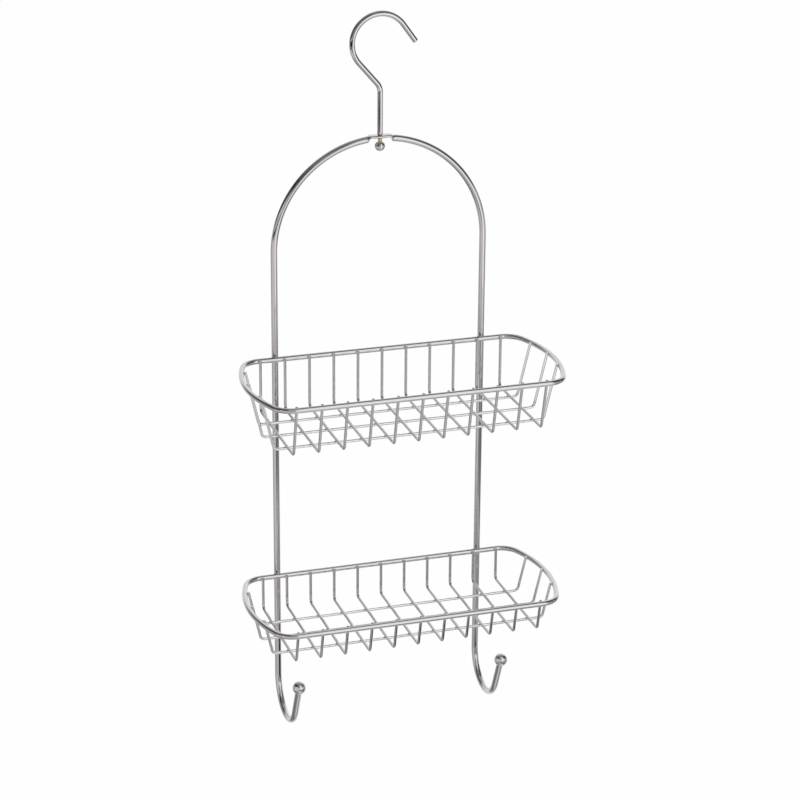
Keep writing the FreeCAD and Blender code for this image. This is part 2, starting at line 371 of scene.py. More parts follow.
def rod_tree():
    graph, size = geometry_graph("caddy_rods", SWEEP_SIZES)
    return finished_geometry(graph, smoothed(graph, swept(graph, size)), size)


def wire_row_tree():
    """One bent wire, repeated along X."""
    sizes = {**SWEEP_SIZES, "Count": "Int", "Pitch": "Float"}
    graph, size = geometry_graph("caddy_wire_row", sizes)
    wire = smoothed(graph, swept(graph, size))
    line = {"Count": size.out("Count"), "Offset": graph.joined(size.out("Pitch"))}
    places = graph.node("GeometryNodeMeshLine", line, mode="OFFSET")
    row = graph.node("GeometryNodeInstanceOnPoints", {"Points": places, "Instance": wire})
    return finished_geometry(graph, row, size)


# The eye's inputs are named as its scene properties are, and the arch's come from the layout.
EYE_SIZES = ("Eye Length", "Eye Width", "Eye End Width", "Eye Thickness", "Eye Taper", "Eye Hole")
ARCH_SIZES = ("Arch Radius", "Spring Height")
HOLE_SIDES = 48
DRILL_RODS_DEEP = 4.0


def frame_rod_tree():
    """The frame rod, pressed flat into an eye at the top of its arch and bored for the pivot."""
    sizes = {**SWEEP_SIZES, **dict.fromkeys((*EYE_SIZES, *ARCH_SIZES), "Float")}
    graph, size = geometry_graph("caddy_frame_rod", sizes)
    bar = swept(graph, size)
    place = graph.node("GeometryNodeInputPosition")
    x, y, z = graph.split(place)
    rod = size.out("Diameter")
    arch_r, spring_z = (size.out(name) for name in ARCH_SIZES)
    span, broad, end_broad, thick, taper, hole = (size.out(name) for name in EYE_SIZES)
    above = z - spring_z
    reach = (x * x + above * above).root()
    middle_x = x * arch_r / reach
    outward = (reach - arch_r) / rod
    half = span * 0.5
    from_middle = abs(middle_x)
    width = broad + (end_broad - broad) * (from_middle / half).least(1.0)
    flat_y = y * (thick / rod) + y.sign() * (width - thick) * 0.5
    crown = spring_z + arch_r + rod * 0.5
    flat_z = crown - thick * 0.5 + outward * thick
    round_again = ((from_middle - half) / taper).eased()
    blend = {0: round_again, 4: graph.joined(middle_x, flat_y, flat_z), 5: place}
    shaped = graph.node("ShaderNodeMix", blend, data_type="VECTOR").out(1)
    at_crown = (from_middle < half + taper) * (above > 0.0)
    press = {"Geometry": bar, "Selection": at_crown, "Position": shaped}
    eye = graph.node("GeometryNodeSetPosition", press)
    drill = {"Vertices": HOLE_SIDES, "Radius": hole * 0.5, "Depth": rod * DRILL_RODS_DEEP}
    drill = graph.node("GeometryNodeMeshCylinder", drill)
    at_eye = {"Geometry": drill, "Translation": graph.joined(0.0, 0.0, crown)}
    drill = graph.node("GeometryNodeTransform", at_eye)
    cut = {"operation": "DIFFERENCE", "solver": "EXACT"}
    bored = graph.node("GeometryNodeMeshBoolean", {0: eye, 1: drill}, **cut)
    return finished_geometry(graph, smoothed(graph, bored), size)


WELD_FACES = {"Segments": 12, "Rings": 8}
WELD_ROWS = ("weld_across", "weld_along", "weld_size")


def weld_tree():
    """A small swollen nugget at every point, laid flat between the two rods that meet there."""
    sizes = {**dict.fromkeys(WELD_FACES, "Int"), "Material": "Material"}
    graph, size = geometry_graph("caddy_welds", sizes)
    across, along, swell = (graph.attribute(row) for row in WELD_ROWS)
    ball = {label: size.out(label) for label in WELD_FACES}
    nugget = graph.node("GeometryNodeMeshUVSphere", {**ball, "Radius": 1.0})
    nugget = graph.node(SET_SMOOTH, {"Geometry": nugget}, domain="FACE")
    axes = {"primary_axis": "Z", "secondary_axis": "X"}
    turn = graph.node("FunctionNodeAxesToRotation", {0: across, 1: along}, **axes)
    lay = {"Points": size.out("Geometry"), "Instance": nugget, "Rotation": turn, "Scale": swell}
    return finished_geometry(graph, graph.node("GeometryNodeInstanceOnPoints", lay), size)


# Meshes, curves and objects


def linked(name, data):
    """A new object in the scene that holds this mesh, curve, lamp or camera."""
    made = bpy.data.objects.new(name, data)
    bpy.context.scene.collection.objects.link(made)
    return made


def new_mesh(name, vertices, faces=()):
    mesh = bpy.data.meshes.new(name)
    mesh.from_pydata([tuple(v) for v in vertices], [], faces)
    return mesh


def store_vectors(mesh, label, vectors):
    stored = mesh.attributes.new(label, "FLOAT_VECTOR", "POINT")
    stored.data.foreach_set("vector", [c for v in vectors for c in v])


def modelled(name, source, tree, values):
    """A plain mesh object from a source's geometry, run through a tree and placed in its mesh."""
    modifier = source.modifiers.new("shape", "NODES")
    modifier.node_group = tree
    sockets = {
        s.name: s.identifier
        for s in tree.interface.items_tree
        if s.item_type == "SOCKET" and s.in_out == "INPUT"
    }
    for label, value in values.items():
        modifier[sockets[label]] = value
    graph = bpy.context.evaluated_depsgraph_get()
    mesh = bpy.data.meshes.new_from_object(
        source.evaluated_get(graph), preserve_all_data_layers=True, depsgraph=graph
    )
    if not mesh.polygons:
        raise RuntimeError(f"{name} came out of {tree.name} with no faces")
    source.modifiers.clear()
    bpy.data.objects.remove(source)
    mesh.name = name
    return linked(name, mesh)


def curve_object(name, routes, closed=False):
    """A curve object with one straight-jointed spline for each route of points."""
    curve = bpy.data.curves.new(name, "CURVE")
    curve.dimensions = "3D"
    for route in routes:
        spline = curve.splines.new("POLY")
        spline.points.add(len(route) - 1)
        spline.points.foreach_set("co", [c for p in route for c in (*p, 1.0)])
        spline.use_cyclic_u = closed
    return linked(name, curve)


def placed(piece, body, slot, *nodes):
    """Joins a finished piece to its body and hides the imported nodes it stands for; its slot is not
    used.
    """
    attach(piece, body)
    if nodes:
        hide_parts(*nodes)


# Centre lines

GRID_BEND_STEPS = 8
RIM_CORNER_STEPS = 18
RIM_BOW_STEPS = 36
HALF_ARCH_STEPS = 48
TOWEL_HOOK_STEPS = 32
CROOK_STEPS = 56
NECK_STEPS = 12
EYE_STEP = 0.35 * MM
END_STEPS = 6
# One more point beyond a rounded end or beside a bend keeps the shading of a long straight run
# from leaning: this many roundings from the end, or this far from the bend.
END_GUARD = 2.0
RUN_GUARD = 1.5 * MM


def arc_points(centre, across, up, radius, start, end, steps):
    """Points of an arc, from the start angle to the end angle, both included."""
    turns = [start + (end - start) * n / steps for n in range(steps + 1)]
    return [centre + across * (radius * math.cos(t)) + up * (radius * math.sin(t)) for t in turns]


def bent_line(corners, radius, steps):
    """A line of straight runs whose inner corners are rounded by tangent arcs."""
    points = corners[:1]
    for before, corner, after in zip(corners, corners[1:], corners[2:]):
        back = (before - corner).normalized()
        ahead = (after - corner).normalized()
        half_opening = back.angle(ahead) / 2
        centre = corner + (back + ahead).normalized() * (radius / math.sin(half_opening))
        start = corner + back * (radius / math.tan(half_opening))
        outward = (start - centre).normalized()
        turn = math.pi - 2 * half_opening
        points += arc_points(centre, outward, -back, radius, 0.0, turn, steps)
    return points + corners[-1:]


def with_close_ends(points, run):
    """The same line with points crowded at both ends, where the rod's cut ends are rounded."""

    def crowded(end, inner):
        inward = (inner - end).normalized()
        turns = [math.pi / 2 * n / END_STEPS for n in range(END_STEPS + 1)]
        shares = [1 - math.cos(t) for t in turns] + [END_GUARD]
        return [end + inward * (run * s) for s in shares]

    head = crowded(points[0], points[1])
    tail = crowded(points[-1], points[-2])
    return head + points[1:-1] + tail[::-1]


def mirrored(points):
    """The same line on the other side, run backwards."""
    return [Vector((-p.x, p.y, p.z)) for p in reversed(points)]


class FrameLayout:
    """Where the frame rod runs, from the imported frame_rod."""

    def __init__(self, rods):
        low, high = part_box("frame_rod")
        rod_r = rods.frame_rod / 2
        self.leg_x = self.arch_r = high.x - rod_r
        self.spring_z = high.z - rod_r - self.arch_r
        self.towel_z = low.z + rod_r + rods.towel_hook_radius


class BasketLayout:
    """Where one basket's rim and wires run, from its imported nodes."""

    def __init__(self, name, sizes):
        self.sizes = sizes
        low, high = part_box(f"{name}_rim")
        rim_r = sizes.rim_wire / 2
        self.rim_z = (low.z + high.z) / 2
        self.back_y = high.y - rim_r
        self.front_y = low.y + rim_r
        self.middle_y = (self.back_y + self.front_y) / 2
        self.half_depth = (self.back_y - self.front_y) / 2
        self.bow_x = high.x - rim_r - sizes.rim_end_bow
        self.lean = math.tan(sizes.wall_lean)
        cross = cross_wire_nodes(name)
        first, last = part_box(cross[0]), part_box(cross[-1])
        self.cross_count = len(cross)
        self.cross_x = (first[0].x + first[1].x) / 2
        self.cross_pitch = ((last[0].x + last[1].x) / 2 - self.cross_x) / (len(cross) - 1)
        self.grid_to_rim = (sizes.rim_wire + sizes.grid_wire) / 2
        self.grid_back_y = self.back_y - self.grid_to_rim
        self.grid_front_y = self.front_y + self.grid_to_rim / math.cos(sizes.wall_lean)
        self.tip_z = self.rim_z + sizes.tip_above_rim
        self.floor_z = first[0].z + sizes.grid_wire / 2
        self.long_floor_z = self.floor_z - sizes.grid_wire
        boxes = [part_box(node) for node in long_wire_nodes(name)]
        self.long_y = [(low.y + high.y) / 2 for low, high in boxes]

    def bent_wire(self, corners):
        """The line of a thin wire through these corners, bent at the foot of both walls."""
        line = bent_line(corners, self.sizes.grid_bend_radius, GRID_BEND_STEPS)
        return with_close_ends(line, self.sizes.tip_rounding)

    def cross_route(self):
        """The first cross wire: down the back, under the floor and up the leaning front."""
        foot_y = self.grid_front_y + (self.rim_z - self.floor_z) * self.lean
        tip_y = self.grid_front_y - (self.tip_z - self.rim_z) * self.lean
        back_y, tip_z, foot_z = self.grid_back_y, self.tip_z, self.floor_z
        corners = (back_y, tip_z), (back_y, foot_z), (foot_y, foot_z), (tip_y, tip_z)
        return self.bent_wire([Vector((self.cross_x, y, z)) for y, z in corners])

    def wall_x(self, y):
        """How far out a long wire stands at rim height, the rim there, and how it slopes."""
        slope = math.asin((y - self.middle_y) / self.sizes.rim_end_bow)
        rim_x = self.bow_x + self.sizes.rim_end_bow * math.cos(slope)
        clear = self.grid_to_rim * math.hypot(1 / math.cos(slope), self.lean)
        return rim_x - clear, rim_x, slope

    def long_route(self, y):
        """A long wire: down one leaning end, along under the cross wires and up the other."""
        at_rim = self.wall_x(y)[0]
        tip_x = at_rim + (self.tip_z - self.rim_z) * self.lean
        foot_x = at_rim - (self.rim_z - self.long_floor_z) * self.lean
        tip_z, foot_z = self.tip_z, self.long_floor_z
        corners = (-tip_x, tip_z), (-foot_x, foot_z), (foot_x, foot_z), (tip_x, tip_z)
        return self.bent_wire([Vector((x, y, z)) for x, z in corners])

    def rim_route(self):
        """The closed rim, from the middle of the back round by the right end."""
        corner_r, bow_r = self.sizes.rim_corner_radius, self.sizes.rim_end_bow
        inset = self.half_depth - corner_r
        turn = math.acos(inset / (bow_r - corner_r))
        run = self.bow_x + inset * math.tan(turn)
        middle = Vector((0, self.middle_y, self.rim_z))
        square = math.pi / 2
        bow = square - turn
        rear, front = (middle + Vector((run, side * inset, 0)) for side in (1, -1))
        half = arc_points(rear, X, Y, corner_r, square, bow, RIM_CORNER_STEPS)
        half += arc_points(middle + X * self.bow_x, X, Y, bow_r, bow, -bow, RIM_BOW_STEPS)[1:]
        half += arc_points(front, X, Y, corner_r, -bow, -square, RIM_CORNER_STEPS)[1:]
        return [middle + Y * self.half_depth] + half + mirrored(half)


def frame_route(layout, rods):
    """From the left towel hook's tip, up the leg, over the arch and down to the right tip."""
    flat_reach = rods.eye_length / 2 + rods.eye_taper
    slope = math.asin(flat_reach / layout.arch_r)
    spring, top = Vector((0, 0, layout.spring_z)), math.pi / 2
    arch = arc_points(spring, X, Z, layout.arch_r, top - slope, 0, HALF_ARCH_STEPS)
    radius, sweep = rods.towel_hook_radius, rods.towel_hook_sweep
    towel_centre = Vector((layout.leg_x, -radius, layout.towel_z))
    towel = arc_points(towel_centre, Y, Z, radius, 0, -sweep, TOWEL_HOOK_STEPS)
    heading = Vector((0, -math.sin(sweep), -math.cos(sweep)))
    leg = [arch[-1] - Z * RUN_GUARD, towel[0] + Z * RUN_GUARD]
    front = [towel[-1] + heading * RUN_GUARD, towel[-1] + heading * rods.towel_hook_front]
    right = arch + leg + towel + front
    steps = 2 * round(flat_reach / EYE_STEP)
    crown = arc_points(spring, X, Z, layout.arch_r, top + slope, top - slope, steps)
    return with_close_ends(mirrored(right) + crown[1:-1] + right, rods.end_rounding)


# Finishes

# scale sizes the ripple, wave and blur scale its depth and the roughness, the fourth field whitens
# the plate as a painted brighter reflection, and the fifth paints a straw-coloured warm reflection
# round the eye.
Finish = namedtuple("Finish", "scale wave blur pale heat")
FINISHES = {
    "frame_chrome": Finish(1.0, 0.6, 0.6, 0.0, 0.75),
    "hook_chrome": Finish(0.9, 0.2, 0.2, 0.0, 0.0),
    "pivot_chrome": Finish(0.9, 0.35, 0.8, 0.0, 1.0),
    "ball_chrome": Finish(1.1, 0.15, 0.4, 0.0, 0.0),
    "rim_chrome": Finish(0.9, 0.35, 0.35, 0.1, 0.0),
    "wire_chrome": Finish(0.6, 0.8, 0.8, 0.05, 0.0),
    "long_wire_brightened_chrome": Finish(0.6, 1.0, 1.0, 1.0, 0.0),
}
RIPPLE_SIZE = 3.2 * MM
STREAK_SIZE = 0.5 * MM
STREAK_STRETCH = (1.0, 1.0, 0.03)
STREAK_DEPTH = 0.25
STREAK_IN_HAZE = 0.6
HAZE_SIZE = 16.0 * MM
HAZE_NOISE = {"detail": 3.0, "roughness": 0.6}
TINT_SIZE = 60.0 * MM
# Where a noise starts to turn one look into the next, and how steeply.
COOL_TO_PLAIN = (0.25, 5.0)
PLAIN_TO_WARM = (0.45, 4.0)
CLEAR_TO_HAZY = (0.48, 5.0)
WARM_SHARE = 0.6
# Painted brighter reflection: the plate turns towards this near-white, fully on the long wires and a
# little on rims and cross wires.
PAINTED_BRIGHT_PLATE = (0.98, 0.98, 0.99, 1.0)
# Painted warm reflection: the straw tone of a patch round the eye and the pivot, its drop below the
# top of the frame rod, its width and height, and its fade.
WARM_REFLECTION_TONE = (0.72, 0.60, 0.40, 1.0)
WARM_REFLECTION_DROP = 2.5 * MM
WARM_REFLECTION_WIDE, WARM_REFLECTION_HIGH = 13 * MM, 8 * MM
WARM_REFLECTION_FADE = 1.6
BUMP = {"Strength": 0.12, "Distance": 0.0006}


def chrome(name):
    """Mirror plate over drawn wire, with soft waviness, faint drawing streaks and haze.

    Some finishes whiten the plate as a painted brighter reflection, and a painted warm reflection
    turns it straw-coloured round the eye of the frame and on the pivot.
    """
    kind = FINISHES[name]
    look = bpy.context.scene.caddy_chrome
    material, graph = new_material(name)
    rod = graph.node("ShaderNodeAttribute", attribute_name=ROD_SPACE).out("Vector")
    solid = graph.node("ShaderNodeTexCoord").out("Object")
    ripple = graph.noise(solid, RIPPLE_SIZE * kind.scale, detail=1.0)
    streak = graph.noise(graph.vector_maths("MULTIPLY", rod, STREAK_STRETCH), STREAK_SIZE)
    clouds = graph.noise(solid, HAZE_SIZE, **HAZE_NOISE)
    tint = graph.noise(solid, TINT_SIZE)
    cool, plain, warm = ((*tone, 1.0) for tone in (look.cool, look.plate, look.warm))
    plate = graph.mixed(cool, plain, tint.rising(*COOL_TO_PLAIN))
    plate = graph.mixed(plate, warm, tint.rising(*PLAIN_TO_WARM) * WARM_SHARE)
    # Painted brighter reflection: whitens the plate by the finish's share.
    plate = graph.mixed(plate, PAINTED_BRIGHT_PLATE, kind.pale)
    # Painted warm reflection: a straw-coloured patch round the eye, on the frame rod and the pivot.
    if kind.heat:
        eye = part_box("frame_rod")[1].z - WARM_REFLECTION_DROP
        x, _, z = graph.split(solid)
        across, above = x / WARM_REFLECTION_WIDE, (z - eye) / WARM_REFLECTION_HIGH
        warm_patch = ((1.0 - across * across - above * above) * WARM_REFLECTION_FADE).eased()
        plate = graph.mixed(plate, WARM_REFLECTION_TONE, warm_patch * kind.heat)
    uneven = (1.0 - STREAK_IN_HAZE) + STREAK_IN_HAZE * streak
    roughness = (look.gloss + look.haze * clouds.rising(*CLEAR_TO_HAZY) * uneven) * kind.blur
    height = (ripple * look.ripple + streak * look.streaks * STREAK_DEPTH) * kind.wave
    bump = graph.node("ShaderNodeBump", {**BUMP, "Height": height})
    skin = {"Base Color": plate, "Metallic": 1.0, "Roughness": roughness, "Normal": bump}
    graph.surface(graph.node("ShaderNodeBsdfPrincipled", skin))
    return material


def finish(name):
    """A finish, made once."""
    return bpy.data.materials.get(name) or chrome(name)


# Pieces


def bent(name, routes, tree, stock, look, more=(), closed=False):
    """A piece swept along its routes from stock of this diameter, sides and end rounding."""
    values = {**dict(zip(SWEEP_SIZES, (*stock, finish(look)))), **dict(more)}
    return modelled(name, curve_object(f"{name}_line", routes, closed), tree, values)


def turned(name, profile, centre, slot, segments=64):
    """A closed shape of revolution about the upright line through centre.

    profile is (radius, height) pairs from the bottom up, and its first and last radius are zero.
    """
    turns = [2 * math.pi * n / segments for n in range(segments)]
    around = [
        centre + Vector((radius * math.cos(turn), radius * math.sin(turn), height))
        for radius, height in profile[1:-1]
        for turn in turns
    ]
    vertices = [centre + Z * profile[0][1], *around, centre + Z * profile[-1][1]]
    faces = []
    rings = len(profile) - 2
    top = 1 + (rings - 1) * segments
    for n in range(segments):
        after = (n + 1) % segments
        faces.append((0, 1 + after, 1 + n))
        for low in range(1, top, segments):
            high = low + segments
            faces.append((low + n, low + after, high + after, high + n))
        faces.append((top + n, top + after, len(vertices) - 1))
    mesh = new_mesh(name, vertices, faces)
    mesh.polygons.foreach_set("use_smooth", [True] * len(mesh.polygons))
    store_vectors(mesh, ROD_SPACE, vertices)
    mesh.materials.append(finish(slot))
    mesh.update()
    return linked(name, mesh)


def ball_profile(radius, rings=40):
    turns = [math.pi * (n / rings - 0.5) for n in range(rings + 1)]
    profile = [(radius * math.cos(t), radius * math.sin(t)) for t in turns]
    profile[0], profile[-1] = (0.0, -radius), (0.0, radius)
    return profile


def ball_over(node, body):
    """A turned ball in the place and size of a packed one."""
    low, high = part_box(node)
    profile = ball_profile((high.x - low.x) / 2)
    ball = turned(f"{node}_turned", profile, (low + high) / 2, "ball_chrome")
    placed(ball, body, "ball_chrome", node)


class CADDY_OT_bend_frame(bpy.types.Operator):
    """Bends the frame rod: towel hooks, legs, arch and the flattened eye"""

    bl_idname = "caddy.bend_frame"
    bl_label = "Bend Frame Rod"

    def execute(self, context):
        rods = context.scene.caddy_rods
        layout = FrameLayout(rods)
        stock = rods.frame_rod, rods.rod_sides, rods.end_rounding
        eye = [(label, getattr(rods, label.lower().replace(" ", "_"))) for label in EYE_SIZES]
        more = [*eye, *zip(ARCH_SIZES, (layout.arch_r, layout.spring_z))]
        route = frame_route(layout, rods)
        rod = bent("frame_rod_bent", [route], frame_rod_tree(), stock, "frame_chrome", more)
        placed(rod, CADDY, "frame_chrome", "frame_rod")
        return {"FINISHED"}


class CADDY_OT_tip_balls(bpy.types.Operator):
    """Puts a ball on the tip of each towel hook"""

    bl_idname = "caddy.tip_balls"
    bl_label = "Make Towel Hook Balls"

    def execute(self, context):
        for side in ("left", "right"):
            ball_over(f"{side}_towel_hook_ball", CADDY)
        return {"FINISHED"}


class CADDY_OT_hanging_hook(bpy.types.Operator):
    """Bends the hanging hook and turns its pivot and swivel ball"""

    bl_idname = "caddy.hanging_hook"
    bl_label = "Make Hanging Hook"

    def execute(self, context):
        rods = context.scene.caddy_rods
        rod_r = rods.hook_rod / 2
        low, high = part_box("hanging_hook")
        hook_r = -low.x - rod_r
        centre = Vector((0, 0, high.z - rod_r - hook_r))
        foot_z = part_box("frame_rod")[1].z + rods.shoulder_gap
        top_z = foot_z + rods.shank
        bend_centre = Vector((-rods.neck_bend_radius, 0, top_z))
        neck = arc_points(bend_centre, X, Z, rods.neck_bend_radius, 0, rods.neck_bend, NECK_STEPS)
        start = math.pi + rods.neck_bend
        end = start - rods.hook_sweep
        crook = arc_points(centre, X, Z, hook_r, start, end, CROOK_STEPS)
        heading = Vector((math.sin(end), 0, -math.cos(end)))
        shank = [Vector((0, 0, foot_z)), Vector((0, 0, top_z - RUN_GUARD))]
        route = [*shank, *neck, *crook, crook[-1] + heading * rods.hook_lead_out]
        route = with_close_ends(route, rods.end_rounding)
        stock = rods.hook_rod, rods.rod_sides, rods.end_rounding
        hook = bent("hanging_hook_bent", [route], rod_tree(), stock, "hook_chrome")
        placed(hook, HOOK, "hook_chrome", "hanging_hook")

        low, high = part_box("swivel_ball")
        middle = (low + high) / 2
        pivot_r = rods.pivot / 2
        reach = foot_z + rods.end_rounding - middle.z
        profile = [(0.0, 0.0), (pivot_r, 0.0), (pivot_r, reach), (0.0, reach)]
        pivot = turned("swivel_pivot", profile, middle, "pivot_chrome", HOLE_SIDES)
        placed(pivot, HOOK, "hook_chrome")
        ball_over("swivel_ball", HOOK)
        return {"FINISHED"}


class CADDY_OT_basket_rims(bpy.types.Operator):
    """Bends the closed rim of each basket"""

    bl_idname = "caddy.basket_rims"
    bl_label = "Bend Basket Rims"

    def execute(self, context):
        sizes = context.scene.caddy_baskets
        rods = context.scene.caddy_rods
        stock = sizes.rim_wire, rods.rod_sides, rods.end_rounding
        for name in BASKETS:
            route = BasketLayout(name, sizes).rim_route()
            rim = bent(f"{name}_rim_bent", [route], rod_tree(), stock, "rim_chrome", closed=True)
            placed(rim, CADDY, "rim_chrome", f"{name}_rim")
        return {"FINISHED"}


class CADDY_OT_basket_wires(bpy.types.Operator):
    """Bends the cross wires and long wires of each basket"""

    bl_idname = "caddy.basket_wires"
    bl_label = "Bend Basket Wires"

    def execute(self, context):
        sizes = context.scene.caddy_baskets
        stock = sizes.grid_wire, sizes.wire_sides, sizes.tip_rounding
        for name in BASKETS:
            layout = BasketLayout(name, sizes)
            route, tree = layout.cross_route(), wire_row_tree()
            row = {"Count": layout.cross_count, "Pitch": layout.cross_pitch}
            cross = bent(f"{name}_cross_wires", [route], tree, stock, "wire_chrome", row)
            placed(cross, CADDY, "wire_chrome", *cross_wire_nodes(name))
            routes = [layout.long_route(y) for y in layout.long_y]
            along = bent(f"{name}_long_wires", routes, rod_tree(), stock, "long_wire_brightened_chrome")
            placed(along, CADDY, "wire_chrome", *long_wire_nodes(name))
        return {"FINISHED"}


class CADDY_OT_weld_joints(bpy.types.Operator):
    """Puts a weld nugget wherever two rods or wires meet"""

    bl_idname = "caddy.weld_joints"
    bl_label = "Weld Joints"

    def execute(self, context):
        sizes = context.scene.caddy_baskets
        rods = context.scene.caddy_rods
        leg_x = FrameLayout(rods).leg_x
        for name in BASKETS:
            layout = BasketLayout(name, sizes)
            welds = basket_welds(layout)
            for side in (-1, 1):
                place = Vector((side * leg_x, -rods.frame_rod / 2, layout.rim_z))
                welds.append((place, Y, Z, sizes.rim_wire))
            source = weld_points(f"{name}_weld_points", welds, sizes)
            values = {**WELD_FACES, "Material": finish("wire_chrome")}
            beads = modelled(f"{name}_basket_welds", source, weld_tree(), values)
            placed(beads, CADDY, "wire_chrome")
        return {"FINISHED"}


def basket_welds(layout):
    """Each weld of one basket: its place, the ways across and along the joint, and the wire."""
    thin = layout.sizes.grid_wire
    rim_r = layout.sizes.rim_wire / 2
    lean = layout.sizes.wall_lean
    across = Vector((0, math.cos(lean), math.sin(lean)))
    welds = []
    for n in range(layout.cross_count):
        x = layout.cross_x + n * layout.cross_pitch
        welds.append((Vector((x, layout.back_y - rim_r, layout.rim_z)), Y, Z, thin))
        rim = Vector((x, layout.front_y, layout.rim_z))
        welds.append((rim + across * rim_r, across, X, thin))
        for y in layout.long_y:
            welds.append((Vector((x, y, layout.floor_z - thin / 2)), Z, X, thin))
    for y in layout.long_y:
        _, rim_x, slope = layout.wall_x(y)
        for side in (-1, 1):
            inward = Vector((-side * math.cos(slope), -math.sin(slope), 0))
            wall = Vector((side * math.sin(lean), 0, math.cos(lean)))
            across = (inward - wall * inward.dot(wall)).normalized()
            rim = Vector((side * rim_x, y, layout.rim_z))
            welds.append((rim + across * rim_r, across, Z, thin))
    return welds


def weld_points(name, welds, sizes):
    """A mesh of loose points that carry how each weld lies and its size."""
    places, across, along, wires = zip(*welds)
    mesh = new_mesh(name, places)
    swell = Vector((sizes.weld_spread, sizes.weld_spread, sizes.weld_rise))
    for row, vectors in zip(WELD_ROWS, (across, along, [swell * wire for wire in wires])):
        store_vectors(mesh, row, vectors)
    return linked(name, mesh)


# Studio

WHITE = (1, 1, 1, 1)
FLOOR_HALF = 40.0
SENSOR_WIDTH = 36.0
CLIP_DISTANCES = (0.05, 200.0)
# Name, azimuth and elevation in degrees.
LAMPS = (("left_lamp", -58, 38), ("right_lamp", 34, 32))
LAMP_SIZE = (1.1, 1.5)
LAMP_DISTANCE = 2.1


def seen_directly(graph):
    """1 for what the camera sees, and for what shows in gloss and through glass."""
    path = graph.node("ShaderNodeLightPath")
    glossy, passed = path.out("Is Glossy Ray"), path.out("Is Transmission Ray")
    return path.out("Is Camera Ray").most(glossy).most(passed)


def spherical(centre, azimuth, elevation, distance):
    flat = math.cos(elevation)
    away = Vector((math.sin(azimuth) * flat, -math.cos(azimuth) * flat, math.sin(elevation)))
    return centre + away * distance


def facing(place, target):
    """Stands at a place and looks at a target."""
    turn = (place - target).to_track_quat("Z", "Y").to_matrix().to_4x4()
    return Matrix.Translation(place) @ turn


# Azimuth runs from the front towards +X. Angles are degrees, and later panels hang in front.
Panel = namedtuple("Panel", "name azimuth elevation width height edge tone")
TENT_PANELS = (
    Panel("low_front", 22, -56, 100, 66, 16, (0.68, 0.67, 0.66)),
    Panel("low_left", -112, -64, 96, 50, 24, (0.22, 0.21, 0.21)),
    Panel("low_right", 80, -42, 46, 66, 14, (0.26, 0.25, 0.24)),
    Panel("left_sheet", -62, -14, 92, 42, 14, (0.66, 0.62, 0.63)),
    Panel("left_rear_sheet", -128, -16, 62, 44, 16, (0.42, 0.41, 0.42)),
    Panel("left_rear_flag", -128, 28, 62, 48, 10, (0.09, 0.085, 0.08)),
    Panel("left_high_flag", -108, 68, 60, 40, 12, (0.15, 0.15, 0.15)),
    Panel("rear_ceiling", 176, 70, 150, 44, 20, (0.36, 0.36, 0.36)),
    Panel("backdrop", 154, -16, 100, 110, 22, (0.80, 0.79, 0.81)),
    Panel("backdrop_glow", 150, -8, 40, 46, 18, (1.00, 1.00, 1.02)),
    Panel("left_flag", -54, 62, 34, 60, 8, (0.01, 0.01, 0.01)),
    Panel("left_side_flag", -82, 36, 40, 36, 9, (0.03, 0.03, 0.035)),
    Panel("right_flag", 80, 41, 64, 88, 12, (0.08, 0.078, 0.075)),
    Panel("front_sheet", 14, -7, 104, 26, 8, (0.66, 0.65, 0.65)),
    Panel("front_gap", 22, -23.5, 100, 9, 4, (0.12, 0.12, 0.12)),
    Panel("softbox", 22, 19, 36, 80, 10, (0.92, 0.92, 0.92)),
    Panel("softbox_core", 18, -5, 26, 26, 10, (1.15, 1.15, 1.15)),
    Panel("lens_gap", -24, 20, 24, 14, 10, (0.28, 0.27, 0.27)),
    Panel("left_lamp", -62, 17, 9, 9, 4, (1.4, 1.4, 1.4)),
    Panel("right_lamp", 75, 5, 8, 8, 4, (1.2, 1.2, 1.2)),
)
TENT_CLOTH = (0.42, 0.41, 0.41)
TENT_RADIUS = 1.5
TENT_FACES = {"u_segments": 96, "v_segments": 48}

# Cards hang outside the caddy, upright and curved round the swivel axis. Azimuths are degrees as
# above, heights and radius are metres, and edges are the shares over which a card fades in.
Card = namedtuple("Card", "name azimuths heights radius tone edges")
CARDS = (
    Card("hook_card", (-100, 4), (-0.076, -0.030), 0.19, 0.01, (0.08, 0.14)),
    Card("shank_card", (-98, 2), (-0.240, -0.183), 0.50, 0.01, (0.07, 0.14)),
    Card("side_card", (-90, -38), (-0.100, -0.060), 0.20, 0.10, (0.1, 0.1)),
    Card("arch_card", (-100, -44), (-0.03, 0.16), 0.27, 0.10, (0.15, 0.2)),
    Card("top_card", (-96, 48), (0.12, 0.8), 0.27, 0.10, (0.1, 0.08)),
    Card("basket_card", (-48, 84), (-0.665, -0.550), 0.27, 0.32, (0.1, 0.25)),
    Card("low_card", (-20, 62), (-0.78, -0.655), 0.27, 0.01, (0.2, 0.2)),
)
CARD_STEPS = 32


def panel_cover(azimuth, elevation, panel):
    """1 inside a panel of the tent, fading to 0 across its soft edge."""
    turn = (azimuth - panel.azimuth).wrapped(180.0, -180.0)
    offsets = (turn, panel.width), (elevation - panel.elevation, panel.height)
    across, up = (((size / 2 - abs(off)) / panel.edge + 0.5).eased() for off, size in offsets)
    return across * up


def gloss_only(name, mesh, material):
    """A stage object that shows in gloss alone and throws no light or shadow of its own."""
    material.cycles.emission_sampling = "NONE"
    mesh.materials.append(material)
    sheet = linked(name, mesh)
    for ray in ("camera", "diffuse", "transmission", "volume_scatter", "shadow"):
        setattr(sheet, f"visible_{ray}", False)


